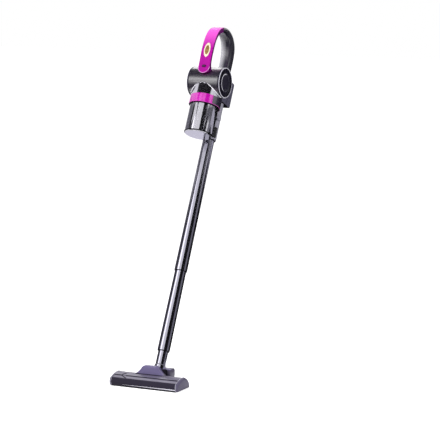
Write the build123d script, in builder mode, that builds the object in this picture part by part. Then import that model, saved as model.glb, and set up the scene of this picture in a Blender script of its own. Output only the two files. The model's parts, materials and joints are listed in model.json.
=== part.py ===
from build123d import *
import os
from math import cos, radians, sin

os.makedirs("parts", exist_ok=True)

# A cordless stick vacuum in its leaning working pose, in millimetres.
# +Z is up, the front faces -Y, and the origin lies on the sole of the floor head.

# Clearances
GAP = 0.3  # between pieces that move past each other
SEAT = 0.1  # between fixed pieces with curved faces

# Stick
LEAN = 26.6  # how far the stick leans back from upright, in degrees
PIVOT_BACK = 50  # the head's pitch axis, behind the origin
PIVOT_HIGH = 29  # and above the sole
NECK_SHOWN = 66  # from the pivot to the foot of the lower tube
LOWER_SHOWN = 246
UPPER_SHOWN = 416
SOCKET_DROP = 157  # from the motor axis down to the mouth of the wand socket
CUP_CLEAR = 7.5  # between the dust cup and the wand socket

# Wand tubes
UPPER_TOP_R = 17.5
UPPER_FOOT_R = 19.5
UPPER_PLUG = 60  # how deep the upper tube sits in the socket
LOWER_TOP_R = 17.25
LOWER_FOOT_R = 18.75
LOWER_PLUG = 60
TUBE_BORE_R = 14.5
NECK_R = 15.5
NECK_PLUG = 45
NECK_BORE_R = 11

# Motor barrel and collar
CASE_R = 46
CASE_OVER = 1.5  # how far the barrel's ends stand out past the collar's foot
CASE_WALL = 2.5
COLLAR_FLARE = 5  # how much deeper the collar is at its foot than at the motor axis
COLLAR_TAPER = 1  # and how much less wide
COLLAR_OVER = 4  # how far the collar's foot stands out round the cup
COLLAR_DROP = 52  # from the motor axis down to the band
BAND_OVER = 4.75  # how far the band stands out round the cup
BAND_HIGH = 27
BAND_LIP = 2.5
VENT_THICK = 5
VENT_RIM = 4
VENT_EDGE = 1
VENT_HUB_R = 28.5
FIN_COUNT = 30
FIN_THICK = 1.7
FIN_DROP = 1.5  # how far the fins lie below the rim
FIN_LEAN = 28  # sweep of the fins off the radial line, in degrees
DISC_R = 26
DISC_DROP = 1
GROOVE_IN = 5  # from the edge of the disc to its ring groove
GROOVE_WIDE = 1.5
GROOVE_DEEP = 0.8

# Dust cup and filter
CUP_R = 43
CUP_WALL = 1.8
CUP_SHOWN = 91
CUP_RIM = 10.7  # how far the rim reaches into the band
CUP_ROUND = 5
LUG_DEEP = 8
LUG_HIGH = 3
LUG_DROP = 6  # from the band down to the lug
GASKET_HIGH = 3
FILTER_R = 29
FILTER_LONG = 62  # below the band
FILTER_FLANGE = 3
CAGE_WALL = 3
CAGE_WINDOWS = 4
WINDOW_WIDE = 27
WINDOW_TURN = -78  # the first window, from the right towards the front, in degrees
PLEATS = 24
PLEAT_DEEP = 5
PLEAT_CORE = 4

# Handle loop, in distances back and up from the motor axis
LOOP_OUTER = [
    (-56, 8), (-58, 60), (-54, 122), (-38.5, 156), (-12, 175), (22, 184),
    (57, 176), (83, 153), (93, 120), (93.5, 85),
]
LOOP_INNER = [
    (-33, 24), (-45, 36), (-49, 58), (-49.5, 92), (-43, 127), (-25, 150), (3, 163),
    (28, 160), (48, 145), (58, 122), (61.5, 90),
]
STRAP_WIDE = 38
STRAP_ROUND = 2.5
STRAP_CUT = [(-21, 190), (-13, 140)]  # where the strap ends and the grip begins
GRIP_WIDE = 34
GRIP_ROUND = 7
INSET_UP = 82
INSET_WIDE = 20
INSET_LONG = 46
INSET_THICK = 1.5
POWER_UP = 30
POWER_WIDE = 13
POWER_HIGH = 7
POWER_TALL = 4.5
POWER_PROUD = 1.6
POWER_TRAVEL = 1.2
BUTTON_ROUND = 0.7

# Rear housing and battery pack
REAR_WIDE = 52
REAR_TOP = 40
REAR_FOOT = -38.5
REAR_FRONT = 20
REAR_BACK = 112
REAR_SPLIT = 84.5  # where the pack meets the housing
ROOF = 6
REAR_ROUND = 5
PACK_WALL = 2
RAIL_WIDE = 4
RAIL_HIGH = 2
RAIL_OUT = 15
CELL_R = 9.1
CELL_LONG = 50
DUCT_WIDE = 30
DUCT_DEEP = 25
DUCT_HIGH = 34
DUCT_ROUND = 4
BOARD_THICK = 1.6
BOARD_WIDE = 36
BOARD_LONG = 30
JACK_R = 4.5
JACK_BORE_R = 2.8
JACK_DEEP = 9
JACK_RIM = 2

# Wand socket, its release button and the cup latch
SOCKET_R = 22
BUTTON_TURN = -30  # round the socket, from the right towards the front, in degrees
BUTTON_WIDE = 9
BUTTON_LONG = 32
BUTTON_TALL = 4
BUTTON_TRAVEL = 1.5
BUTTON_LIFT = 4  # from the socket's mouth up to the button
BUTTON_CORNER = 2
PAD_RIM = 2.5
PAD_DROP = 0.5  # how far the pad's rim lies below the button's full height
SPRING_LEAF = 0.5
LATCH_WIDE = 7
LATCH_OUT = 17  # inner side of the latch, from the middle
LATCH_CLEAR = 1.5  # from the socket to the latch's pin
LATCH_BACK = 2  # thickness of the latch behind its pin
LATCH_FRONT = 2.5  # and before it
LATCH_TAIL = 12
HOOK_SLOPE = 1
HOOK_THICK = 3
LATCH_PIN_R = 1.25
LATCH_PIN_DROP = 90  # below the motor axis
EAR_THICK = 2.5

# Drive
MOTOR_R = 30
MOTOR_LONG = 42
MOTOR_LEFT = -28
MOTOR_ROUND = 3
SHAFT_END = 4  # from the motor's left end to the shaft
SHAFT_R = 2.5
IMPELLER_R = 38
IMPELLER_LONG = 16
IMPELLER_OFF = 5  # from the motor to the impeller
IMPELLER_PLATE = 2
BLADE_DROP = 3
BLADES = 9
BLADE_THICK = 1.4
MOUNT_LONG = 10
MOUNT_HOLES = 8
MOUNT_HOLE_R = 4
FOAM_THICK = 5

# Floor head
HEAD_HALF = 105  # half its width between the end caps
CAP_LONG = 7.5
HEAD_WALL = 2.5
HEAD_BACK = 32
HEAD_FRONT = -50
PLATE_THICK = 3
HEAD_OUTLINE = [
    (-46, PLATE_THICK), (HEAD_FRONT, 12), (-45, 24), (-29, 29.5), (-27.5, 31.5),
    (6, 38), (HEAD_BACK, 32), (HEAD_BACK, PLATE_THICK),
]
HEAD_BENDS = [0, 5, 4, 0.5, 0.5, 20, 22, 0]
STRIP_TOP = 24.2
STRIP_BACK = -40
CAP_ROUND = 5
CAP_LIFT = 0.8  # the caps' undersides above the floor
HOOD_BASE = 104
HOOD_TOP = 40
HOOD_HIGH = 57
HOOD_LOW = 24
HOOD_FRONT = -11
HOOD_ROUND = 8
SLOT_IN = 25  # from the ends of the shell to the suction slot
SLOT_ROUND = 3
SLOT_FRONT = -31
SLOT_BACK = -15
STRIP_WIDE = 6
STRIP_DEEP = 1.5
WHEEL_R = 9
WHEEL_WIDE = 11
WHEEL_ROUND = 1.5
WHEEL_IN = 37  # from the ends of the shell to the wheels
WHEEL_BACK = 20
WHEEL_LIFT = 0.2
AXLE_R = 1.5
CHEEK = 4
SCREW_IN = 15  # from the ends of the shell to the screws
SCREW_FRONT = -34
SCREW_BACK = 24
SCREW_R = 1.4
SCREW_HEAD_R = 3
SCREW_HEAD = 1.8
SCREW_LONG = 13
BOSS_R = 4

# Elbow and yoke
ELBOW_HALF = 20
ELBOW_R = 16
SLEEVE_R = 17
SLEEVE_TOP = 22
NECK_PIN_R = 13
SEAL_HIGH = 2
PIN_R = 4
PIN_IN = 7  # how far each pin reaches into the elbow
YOKE_THICK = 26
YOKE_R = 13

# Places that follow from these sizes
cup_ahead = SOCKET_R + CUP_CLEAR + CUP_R  # from the wand axis forward to the motor axis
band_r = CUP_R + BAND_OVER
band_bore = CUP_R + 2 * GAP
band_lip = band_bore - BAND_LIP
collar_r = CUP_R + COLLAR_OVER
case_half = collar_r + CASE_OVER
slot_half = HEAD_HALF - SLOT_IN
wheel_out = HEAD_HALF - WHEEL_IN
screw_out = HEAD_HALF - SCREW_IN

# Levels along the stick, measured up from the pivot
lower_foot = NECK_SHOWN
upper_foot = lower_foot + LOWER_SHOWN
socket_foot = upper_foot + UPPER_SHOWN
motor_up = socket_foot + SOCKET_DROP
collar_foot = motor_up - COLLAR_DROP
band_foot = collar_foot - BAND_HIGH
cup_foot = band_foot - CUP_SHOWN
cup_rim = band_foot + CUP_RIM
band_shoulder = cup_rim + GAP + GASKET_HIGH
socket_top = motor_up + REAR_FOOT

# Directions of the leaning stick
up = Vector(0, sin(radians(LEAN)), cos(radians(LEAN)))
back = Vector(0, cos(radians(LEAN)), -sin(radians(LEAN)))
pivot = Vector(0, PIVOT_BACK, PIVOT_HIGH)
pivot_front = Plane(origin=pivot, x_dir=(1, 0, 0), z_dir=(0, -1, 0))


def at(right, behind, height):
    """A point given across the stick, behind the wand axis and up from the pivot."""
    return pivot + Vector(right, 0, 0) + back * behind + up * height


def across(height, behind=0):
    """Plane square to the stick: x to the right, y backwards."""
    return Plane(origin=at(0, behind, height), x_dir=(1, 0, 0), z_dir=up)


def side(right=0, behind=-cup_ahead, height=motor_up):
    """Plane along the stick seen from the right: x backwards, y up, z to the right."""
    return Plane(origin=at(right, behind, height), x_dir=back, z_dir=(1, 0, 0))


def facing(behind=-cup_ahead, height=motor_up):
    """Plane along the stick seen from the front: x to the right, y up, z forwards."""
    return Plane(origin=at(0, behind, height), x_dir=(1, 0, 0), z_dir=back * -1)


def stick_axis(behind=0):
    return Axis(at(0, behind, 0), up)


def turned(outline, behind=0):
    """A round piece from its outline of radius and height, about an axis along the stick."""
    with BuildPart() as piece:
        with BuildSketch(facing(behind, 0)):
            with BuildLine():
                Polyline(*outline, close=True)
            make_face()
        revolve(axis=stick_axis(behind))
    return piece


def mirrored(piece):
    """The left-hand twin of a right-hand piece."""
    with BuildPart() as twin:
        mirror(piece.part, about=Plane.YZ)
    return twin


def keep(piece, name):
    piece.part.label = name
    export_step(piece.part, f"parts/{name}.step")


# Wand tubes, each with a straight plug at the top and a socket at the foot

upper_plug_r = UPPER_TOP_R - GAP
upper_tube = turned([
    (LOWER_TOP_R + GAP, upper_foot),
    (UPPER_FOOT_R, upper_foot),
    (UPPER_TOP_R, socket_foot - GAP),
    (upper_plug_r, socket_foot - GAP),
    (upper_plug_r, socket_foot + UPPER_PLUG),
    (TUBE_BORE_R, socket_foot + UPPER_PLUG),
    (TUBE_BORE_R, upper_foot + LOWER_PLUG + GAP),
    (LOWER_TOP_R + GAP, upper_foot + LOWER_PLUG + GAP),
])
keep(upper_tube, "upper_tube")

lower_tube = turned([
    (NECK_R + GAP, lower_foot),
    (LOWER_FOOT_R, lower_foot),
    (LOWER_TOP_R, upper_foot),
    (LOWER_TOP_R, upper_foot + LOWER_PLUG),
    (TUBE_BORE_R, upper_foot + LOWER_PLUG),
    (TUBE_BORE_R, lower_foot + NECK_PLUG + GAP),
    (NECK_R + GAP, lower_foot + NECK_PLUG + GAP),
])
keep(lower_tube, "lower_tube")

# Neck of the floor head: it swivels in the elbow's sleeve on a soft seal

neck_shoulder = SLEEVE_TOP + SEAL_HIGH + GAP
neck_tube = turned([
    (NECK_BORE_R, neck_shoulder - SLEEVE_TOP / 2),
    (NECK_PIN_R, neck_shoulder - SLEEVE_TOP / 2),
    (NECK_PIN_R, neck_shoulder),
    (NECK_R, neck_shoulder),
    (NECK_R, lower_foot + NECK_PLUG),
    (NECK_BORE_R, lower_foot + NECK_PLUG),
])
keep(neck_tube, "neck_tube")

neck_seal = turned([
    (NECK_PIN_R + GAP, SLEEVE_TOP),
    (NECK_R, SLEEVE_TOP),
    (NECK_R, SLEEVE_TOP + SEAL_HIGH),
    (NECK_PIN_R + GAP, SLEEVE_TOP + SEAL_HIGH),
])
keep(neck_seal, "neck_seal")

with BuildPart() as elbow:
    with BuildSketch(side(0, 0, 0)):
        Circle(ELBOW_R)
    extrude(amount=ELBOW_HALF, both=True)
    with BuildSketch(across(0)):
        Circle(SLEEVE_R)
    extrude(amount=SLEEVE_TOP)
    with BuildSketch(across(neck_shoulder - SLEEVE_TOP / 2 - GAP)):
        Circle(NECK_PIN_R + GAP)
    extrude(amount=SLEEVE_TOP, mode=Mode.SUBTRACT)
    with BuildSketch(across(0)):
        Circle(NECK_BORE_R)
    extrude(amount=SLEEVE_TOP, mode=Mode.SUBTRACT)
    with BuildSketch(pivot_front):
        SlotOverall(2 * NECK_BORE_R, NECK_BORE_R)
    extrude(amount=2 * ELBOW_R, mode=Mode.SUBTRACT)
    for outer_side in (ELBOW_HALF, -ELBOW_HALF):
        with BuildSketch(side(outer_side, 0, 0)):
            Circle(PIN_R + SEAT)
        extrude(amount=-PIN_IN if outer_side > 0 else PIN_IN, mode=Mode.SUBTRACT)
keep(elbow, "elbow")

with BuildPart() as hinge_pins:
    for inner_end in (ELBOW_HALF - PIN_IN + GAP, -ELBOW_HALF - YOKE_THICK):
        with BuildSketch(side(inner_end, 0, 0)):
            Circle(PIN_R)
        extrude(amount=PIN_IN - GAP + YOKE_THICK)
keep(hinge_pins, "hinge_pins")

# Motor barrel with its flared collar, both hollow


def case_form(grow, half):
    """The barrel and collar as one solid, with every surface moved out by grow."""
    with BuildPart() as form:
        with BuildSketch(side()):
            Circle(CASE_R + grow)
        extrude(amount=half, both=True)
        with BuildSketch(across(motor_up, -cup_ahead)):
            Ellipse(collar_r + COLLAR_TAPER + grow, collar_r - COLLAR_FLARE + grow)
        with BuildSketch(across(collar_foot, -cup_ahead)):
            Circle(collar_r + grow)
        loft()
    return form.part


duct_mid = REAR_FOOT + DUCT_HIGH - DUCT_DEEP / 2

with BuildPart() as motor_case:
    add(case_form(0, case_half))
    add(case_form(-CASE_WALL, case_half), mode=Mode.SUBTRACT)
    with BuildSketch(facing(-cup_ahead + REAR_SPLIT, motor_up + duct_mid)):
        RectangleRounded(DUCT_WIDE - 2 * CASE_WALL, DUCT_DEEP - 2 * CASE_WALL, CASE_WALL)
    extrude(amount=REAR_SPLIT, mode=Mode.SUBTRACT)
keep(motor_case, "motor_case")

collar_ring = turned([
    (band_bore, band_foot),
    (band_r, band_foot),
    (band_r, collar_foot),
    (band_lip - FILTER_FLANGE, collar_foot),
    (band_lip - FILTER_FLANGE, collar_foot - FILTER_FLANGE),
    (band_lip, collar_foot - FILTER_FLANGE),
    (band_lip, band_shoulder),
    (band_bore, band_shoulder),
], -cup_ahead)
keep(collar_ring, "collar_ring")

cup_gasket = turned([
    (band_lip + GAP, band_shoulder - GASKET_HIGH),
    (band_bore - SEAT, band_shoulder - GASKET_HIGH),
    (band_bore - SEAT, band_shoulder),
    (band_lip + GAP, band_shoulder),
], -cup_ahead)
keep(cup_gasket, "cup_gasket")

# Finned exhaust vents on the two ends of the barrel

fin_in = VENT_HUB_R - VENT_RIM / 4
fin_out = CASE_R - VENT_RIM / 2
fin_run = (fin_out - fin_in) / cos(radians(FIN_LEAN))

with BuildPart() as vent_cap_right:
    with BuildSketch(side(case_half)):
        Circle(CASE_R)
        Circle(CASE_R - VENT_RIM, mode=Mode.SUBTRACT)
    extrude(amount=VENT_THICK)
    rims = vent_cap_right.edges().filter_by(GeomType.CIRCLE).group_by(Axis.X)[-1]
    chamfer(rims.sort_by(SortBy.RADIUS)[-1], VENT_EDGE)
    with BuildSketch(side(case_half)):
        Circle(VENT_HUB_R)
        Circle(DISC_R + SEAT, mode=Mode.SUBTRACT)
    extrude(amount=VENT_THICK)
    with BuildSketch(side(case_half)):
        with PolarLocations((fin_in + fin_out) / 2, FIN_COUNT):
            Rectangle(fin_run, FIN_THICK, rotation=FIN_LEAN)
        Circle(fin_out, mode=Mode.INTERSECT)
        Circle(fin_in, mode=Mode.SUBTRACT)
    extrude(amount=VENT_THICK - FIN_DROP)
keep(vent_cap_right, "vent_cap_right")
vent_cap_left = mirrored(vent_cap_right)
keep(vent_cap_left, "vent_cap_left")

disc_thick = VENT_THICK - DISC_DROP

with BuildPart() as vent_disc_right:
    with BuildSketch(side(case_half)):
        Circle(DISC_R)
    extrude(amount=disc_thick)
    fillet(vent_disc_right.edges().group_by(Axis.X)[-1], VENT_EDGE)
    with BuildSketch(side(case_half + disc_thick)):
        Circle(DISC_R - GROOVE_IN)
        Circle(DISC_R - GROOVE_IN - GROOVE_WIDE, mode=Mode.SUBTRACT)
    extrude(amount=-GROOVE_DEEP, mode=Mode.SUBTRACT)
keep(vent_disc_right, "vent_disc_right")
vent_disc_left = mirrored(vent_disc_right)
keep(vent_disc_left, "vent_disc_left")

# Drive inside the barrel

case_bore = CASE_R - CASE_WALL
motor_right = MOTOR_LEFT + MOTOR_LONG

with BuildPart() as exhaust_foam:
    for foam_left in (case_half - FOAM_THICK, -case_half):
        with BuildSketch(side(foam_left)):
            Circle(case_bore - SEAT)
            Circle(DISC_R / 2, mode=Mode.SUBTRACT)
        extrude(amount=FOAM_THICK)
keep(exhaust_foam, "exhaust_foam")

with BuildPart() as motor:
    with BuildSketch(side(MOTOR_LEFT)):
        Circle(MOTOR_R)
    extrude(amount=MOTOR_LONG)
    fillet(motor.edges().filter_by(GeomType.CIRCLE), MOTOR_ROUND)
    with BuildSketch(side(motor_right)):
        Circle(SHAFT_R + SEAT)
    extrude(amount=-(MOTOR_LONG - SHAFT_END), mode=Mode.SUBTRACT)
keep(motor, "motor")

with BuildPart() as motor_mount:
    with BuildSketch(side(MOTOR_LEFT + (MOTOR_LONG - MOUNT_LONG) / 2)):
        Circle(case_bore - SEAT)
        Circle(MOTOR_R + SEAT, mode=Mode.SUBTRACT)
        with PolarLocations((case_bore + MOTOR_R) / 2, MOUNT_HOLES):
            Circle(MOUNT_HOLE_R, mode=Mode.SUBTRACT)
    extrude(amount=MOUNT_LONG)
keep(motor_mount, "motor_mount")

impeller_left = motor_right + IMPELLER_OFF
shaft_left = MOTOR_LEFT + SHAFT_END + GAP

with BuildPart() as motor_shaft:
    with BuildSketch(side(shaft_left)):
        Circle(SHAFT_R)
    extrude(amount=impeller_left + IMPELLER_LONG - shaft_left)
keep(motor_shaft, "motor_shaft")

with BuildPart() as impeller:
    with BuildSketch(side(impeller_left)):
        Circle(IMPELLER_R)
    extrude(amount=IMPELLER_PLATE)
    with BuildSketch(side(impeller_left)):
        Circle(4 * SHAFT_R)
    extrude(amount=IMPELLER_LONG)
    with BuildSketch(side(impeller_left)):
        with PolarLocations((IMPELLER_R + 3 * SHAFT_R) / 2, BLADES):
            Rectangle(IMPELLER_R - 2 * SHAFT_R, BLADE_THICK, rotation=FIN_LEAN)
        Circle(IMPELLER_R, mode=Mode.INTERSECT)
    extrude(amount=IMPELLER_LONG - BLADE_DROP)
    with BuildSketch(side(impeller_left)):
        Circle(SHAFT_R + SEAT / 2)
    extrude(amount=IMPELLER_LONG, mode=Mode.SUBTRACT)
keep(impeller, "impeller")

# Dust cup, sliding down off the band, with a lug for the latch

latch_pin_up = motor_up - LATCH_PIN_DROP
hook_up = band_foot - LUG_DROP
latch_mid = LATCH_OUT + LATCH_WIDE / 2

with BuildPart() as dust_cup:
    with BuildSketch(facing(-cup_ahead, 0)):
        with BuildLine():
            FilletPolyline(
                (0, cup_foot),
                (CUP_R, cup_foot),
                (CUP_R, cup_rim),
                (CUP_R - CUP_WALL, cup_rim),
                (CUP_R - CUP_WALL, cup_foot + CUP_WALL),
                (0, cup_foot + CUP_WALL),
                radius=[0, CUP_ROUND, 0, 0, CUP_ROUND - CUP_WALL, 0],
                close=True,
            )
        make_face()
    revolve(axis=stick_axis(-cup_ahead))
    with BuildSketch(across(hook_up, -cup_ahead)):
        with Locations((latch_mid, CUP_R - LUG_DEEP / 2)):
            Rectangle(LATCH_WIDE - 2 * GAP, LUG_DEEP)
        Circle(CUP_R - CUP_WALL / 2, mode=Mode.SUBTRACT)
    extrude(amount=LUG_HIGH)
keep(dust_cup, "dust_cup")

# Filter: a black cage under a bayonet ring, and the pleated element inside it

flange_top = collar_foot - FILTER_FLANGE - GAP
cage_top = flange_top - FILTER_FLANGE
cage_foot = band_foot - FILTER_LONG
cage_bore = FILTER_R - CAGE_WALL
window_foot = cage_foot + CAGE_WALL

with BuildPart() as filter_frame:
    with BuildSketch(facing(-cup_ahead, 0)):
        with BuildLine():
            Polyline(
                (0, cage_foot),
                (FILTER_R, cage_foot),
                (FILTER_R, cage_top),
                (cage_bore, cage_top),
                (cage_bore, window_foot),
                (0, window_foot),
                close=True,
            )
        make_face()
    revolve(axis=stick_axis(-cup_ahead))
    with BuildSketch(across(window_foot, -cup_ahead)):
        with PolarLocations(FILTER_R, CAGE_WINDOWS, start_angle=WINDOW_TURN):
            Rectangle(4 * CAGE_WALL, WINDOW_WIDE)
    extrude(amount=band_foot - window_foot, mode=Mode.SUBTRACT)
keep(filter_frame, "filter_frame")

filter_ring = turned([
    (cage_bore, cage_top),
    (band_lip - GAP, cage_top),
    (band_lip - GAP, flange_top),
    (cage_bore, flange_top),
], -cup_ahead)
keep(filter_ring, "filter_ring")

pleat_out = cage_bore - GAP
pleat_in = pleat_out - PLEAT_DEEP
pleat_points = [
    Vector(pleat_in if fold % 2 else pleat_out, 0).rotate(Axis.Z, fold * 180 / PLEATS)
    for fold in range(2 * PLEATS)
]

with BuildPart() as filter_element:
    with BuildSketch(across(window_foot, -cup_ahead)):
        Polygon(*pleat_points, align=None)
        Circle(pleat_in - PLEAT_CORE, mode=Mode.SUBTRACT)
    extrude(amount=cage_top - window_foot)
keep(filter_element, "filter_element")

# Handle loop: magenta front leg, dark grip behind


def loop_lines(shift):
    """Points on the two outlines of the loop, moved back by shift."""
    outer = [(v + shift, u) for v, u in LOOP_OUTER] + [(LOOP_OUTER[-1][0] + shift, REAR_TOP)]
    inner = [(v + shift, u) for v, u in LOOP_INNER] + [(LOOP_INNER[-1][0] + shift, REAR_TOP)]
    return outer, inner[::-1]


def loop_form(width, shift=0):
    """The whole loop as one solid of the given width."""
    outer, inner = loop_lines(shift)
    with BuildPart() as form:
        with BuildSketch(side()):
            with BuildLine():
                Spline(*outer)
                Line(outer[-1], inner[0])
                Spline(*inner)
                Line(inner[-1], outer[0])
            make_face()
        extrude(amount=width / 2, both=True)
    return form


strap_reach = [
    (-2 * CASE_R, -CASE_R),
    (-2 * CASE_R, 5 * CASE_R),
    (STRAP_CUT[0][0], 5 * CASE_R),
    *STRAP_CUT,
    (0, REAR_TOP),
    (0, -CASE_R),
]


def loop_half(width, radius, mode):
    """The loop before or behind its cut, with the long edges rounded."""
    with BuildPart() as half:
        add(loop_form(width).part)
        with BuildSketch(side()):
            with BuildLine():
                Polyline(*strap_reach, close=True)
            make_face()
        extrude(amount=width, both=True, mode=mode)
        rims = half.faces().filter_by(Axis.X).edges()
        fillet(rims.filter_by(GeomType.BSPLINE), radius)
    return half


strap_foot = LOOP_OUTER[0][1] + STRAP_WIDE / 2

with BuildPart() as inset_room:
    add(loop_form(STRAP_WIDE).part)
    add(loop_form(STRAP_WIDE, INSET_THICK).part, mode=Mode.SUBTRACT)
    with BuildSketch(facing()):
        with Locations((0, INSET_UP)):
            Ellipse(INSET_WIDE / 2, INSET_LONG / 2)
    extrude(amount=2 * CASE_R, mode=Mode.INTERSECT)

power_face = LOOP_OUTER[0][0] + (LOOP_OUTER[1][0] - LOOP_OUTER[0][0]) * (
    (POWER_UP - LOOP_OUTER[0][1]) / (LOOP_OUTER[1][1] - LOOP_OUTER[0][1])
)
power_front = power_face - POWER_PROUD
power_floor = power_front + POWER_TALL + POWER_TRAVEL + GAP

with BuildPart() as strap:
    add(loop_half(STRAP_WIDE, STRAP_ROUND, Mode.INTERSECT).part)
    with BuildSketch(facing()):
        with Locations((0, strap_foot)):
            Circle(STRAP_WIDE / 2)
        with Locations((0, strap_foot + 3 * CASE_R)):
            Rectangle(STRAP_WIDE, 6 * CASE_R)
    extrude(amount=3 * CASE_R, both=True, mode=Mode.INTERSECT)
    add(case_form(SEAT, case_half), mode=Mode.SUBTRACT)
    add(inset_room.part, mode=Mode.SUBTRACT)
    with BuildSketch(facing(-cup_ahead + power_floor)):
        with Locations((0, POWER_UP)):
            SlotOverall(POWER_WIDE + 2 * GAP, POWER_HIGH + 2 * GAP)
    extrude(amount=CASE_R, mode=Mode.SUBTRACT)
keep(strap, "strap")
keep(inset_room, "strap_inset")

with BuildPart() as power_button:
    with BuildSketch(facing(-cup_ahead + power_front + POWER_TALL)):
        with Locations((0, POWER_UP)):
            SlotOverall(POWER_WIDE, POWER_HIGH)
    extrude(amount=POWER_TALL)
    fillet(power_button.faces().sort_by(Axis.Y)[0].edges(), BUTTON_ROUND)
keep(power_button, "power_button")

grip = loop_half(GRIP_WIDE, GRIP_ROUND, Mode.SUBTRACT)
keep(grip, "grip")

# Rear housing: air duct, board room and roof, with the battery pack behind it

roof_under = REAR_TOP - ROOF
rear_half = REAR_WIDE / 2
duct_top = REAR_FOOT + DUCT_HIGH
room_foot = duct_top + CASE_WALL
room_back = REAR_SPLIT - CASE_WALL
room_front = CASE_R + CASE_WALL

with BuildPart() as rear_housing:
    with BuildSketch(side()):
        with BuildLine():
            Polyline(
                (REAR_FRONT, REAR_FOOT),
                (REAR_FRONT, REAR_TOP),
                (REAR_BACK, REAR_TOP),
                (REAR_BACK, roof_under),
                (REAR_SPLIT, roof_under),
                (REAR_SPLIT, REAR_FOOT),
                close=True,
            )
        make_face()
    extrude(amount=rear_half, both=True)
    back_rims = rear_housing.edges().filter_by(Axis.X).sort_by(Axis.Y)[-2:]
    fillet(back_rims.sort_by(Axis.Z)[-1], REAR_ROUND)
    add(case_form(SEAT, case_half), mode=Mode.SUBTRACT)
    with BuildSketch(across(socket_top - BAND_HIGH, -cup_ahead)):
        Circle(band_r + GAP)
    extrude(amount=2 * BAND_HIGH, mode=Mode.SUBTRACT)
    with BuildSketch(across(socket_top)):
        with Locations((0, -cup_ahead + room_back - DUCT_DEEP / 2)):
            RectangleRounded(DUCT_WIDE, DUCT_DEEP, DUCT_ROUND)
    extrude(amount=DUCT_HIGH, mode=Mode.SUBTRACT)
    with BuildSketch(facing(-cup_ahead + room_back - CASE_WALL, motor_up + duct_mid)):
        RectangleRounded(DUCT_WIDE - 2 * CASE_WALL, DUCT_DEEP - 2 * CASE_WALL, CASE_WALL)
    extrude(amount=REAR_SPLIT, mode=Mode.SUBTRACT)
    with BuildSketch(side()):
        with Locations(((room_front + room_back) / 2, (room_foot + roof_under) / 2)):
            Rectangle(room_back - room_front, roof_under - room_foot)
    extrude(amount=rear_half - CASE_WALL, both=True, mode=Mode.SUBTRACT)
    with BuildSketch(facing(-cup_ahead + REAR_SPLIT, motor_up + roof_under)):
        with Locations((RAIL_OUT, 0), (-RAIL_OUT, 0)):
            Rectangle(RAIL_WIDE + 2 * GAP, 2 * (RAIL_HIGH + GAP))
    extrude(amount=-(REAR_BACK - REAR_SPLIT), mode=Mode.SUBTRACT)
keep(rear_housing, "rear_housing")

pack_front = REAR_SPLIT + GAP
pack_top = roof_under - GAP
pack_foot = REAR_FOOT + GAP
pack_deep = REAR_BACK - pack_front
pack_mid = (pack_front + REAR_BACK) / 2
jack_up = pack_foot + PACK_WALL + JACK_R + JACK_RIM

with BuildPart() as battery_pack:
    with BuildSketch(across(motor_up + pack_foot, -cup_ahead + pack_mid)):
        Rectangle(REAR_WIDE, pack_deep)
    extrude(amount=pack_top - pack_foot)
    back_rims = battery_pack.faces().sort_by(Axis((0, 0, 0), back))[-1].edges()
    fillet(back_rims.filter_by(Axis.X).sort_by(Axis.Z)[0], REAR_ROUND)
    with BuildSketch(across(motor_up + pack_foot + PACK_WALL, -cup_ahead + pack_mid)):
        Rectangle(REAR_WIDE - 2 * PACK_WALL, pack_deep - 2 * PACK_WALL)
    extrude(amount=pack_top - pack_foot - 2 * PACK_WALL, mode=Mode.SUBTRACT)
    with BuildSketch(facing(-cup_ahead + REAR_BACK - REAR_ROUND, motor_up + pack_top)):
        with Locations((RAIL_OUT, 0), (-RAIL_OUT, 0)):
            Rectangle(RAIL_WIDE, 2 * RAIL_HIGH)
    extrude(amount=pack_deep - 2 * REAR_ROUND)
    with BuildSketch(facing(-cup_ahead + REAR_BACK, motor_up + jack_up)):
        Circle(JACK_R + SEAT)
    extrude(amount=PACK_WALL, mode=Mode.SUBTRACT)
keep(battery_pack, "battery_pack")

cell_foot = pack_top - PACK_WALL - GAP - CELL_LONG

with BuildPart() as battery_cells:
    with BuildSketch(across(motor_up + cell_foot, -cup_ahead + pack_front + PACK_WALL + CELL_R + GAP)):
        with Locations((CELL_R + GAP, 0), (-CELL_R - GAP, 0)):
            Circle(CELL_R)
    extrude(amount=CELL_LONG)
keep(battery_cells, "battery_cells")

with BuildPart() as charging_socket:
    with BuildSketch(facing(-cup_ahead + REAR_BACK, motor_up + jack_up)):
        Circle(JACK_R)
    extrude(amount=JACK_DEEP + PACK_WALL)
    with BuildSketch(facing(-cup_ahead + REAR_BACK, motor_up + jack_up)):
        Circle(JACK_BORE_R)
    extrude(amount=JACK_DEEP, mode=Mode.SUBTRACT)
keep(charging_socket, "charging_socket")

board_up = (room_foot + roof_under) / 2
board_behind = -cup_ahead + room_back - SEAT

with BuildPart() as control_board:
    with BuildSketch(facing(board_behind, motor_up + board_up)):
        Rectangle(BOARD_WIDE, BOARD_LONG)
    extrude(amount=BOARD_THICK)
    with BuildSketch(facing(board_behind - BOARD_THICK, motor_up + board_up)):
        with GridLocations(BOARD_WIDE / 2, BOARD_LONG / 2, 2, 2):
            Rectangle(BOARD_WIDE / 4, BOARD_LONG / 5)
    extrude(amount=3 * BOARD_THICK)
keep(control_board, "control_board")

# Wand socket with the pad of its release button and the ears of the cup latch

socket_bore = upper_plug_r + GAP
turn = radians(BUTTON_TURN)
pad_out = Vector(cos(turn), 0, 0) + back * sin(turn)
pad_along = Vector(-sin(turn), 0, 0) + back * cos(turn)
pad_high = socket_foot + BUTTON_LIFT + BUTTON_LONG / 2
pad_wide = BUTTON_WIDE + 2 * (GAP + PAD_RIM)
pad_long = BUTTON_LONG + 2 * (GAP + PAD_RIM)
button_floor = SOCKET_R + SEAT
pad_top = button_floor + BUTTON_TALL - PAD_DROP
latch_behind = -SOCKET_R - LATCH_CLEAR
ear_reach = SOCKET_R


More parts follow.
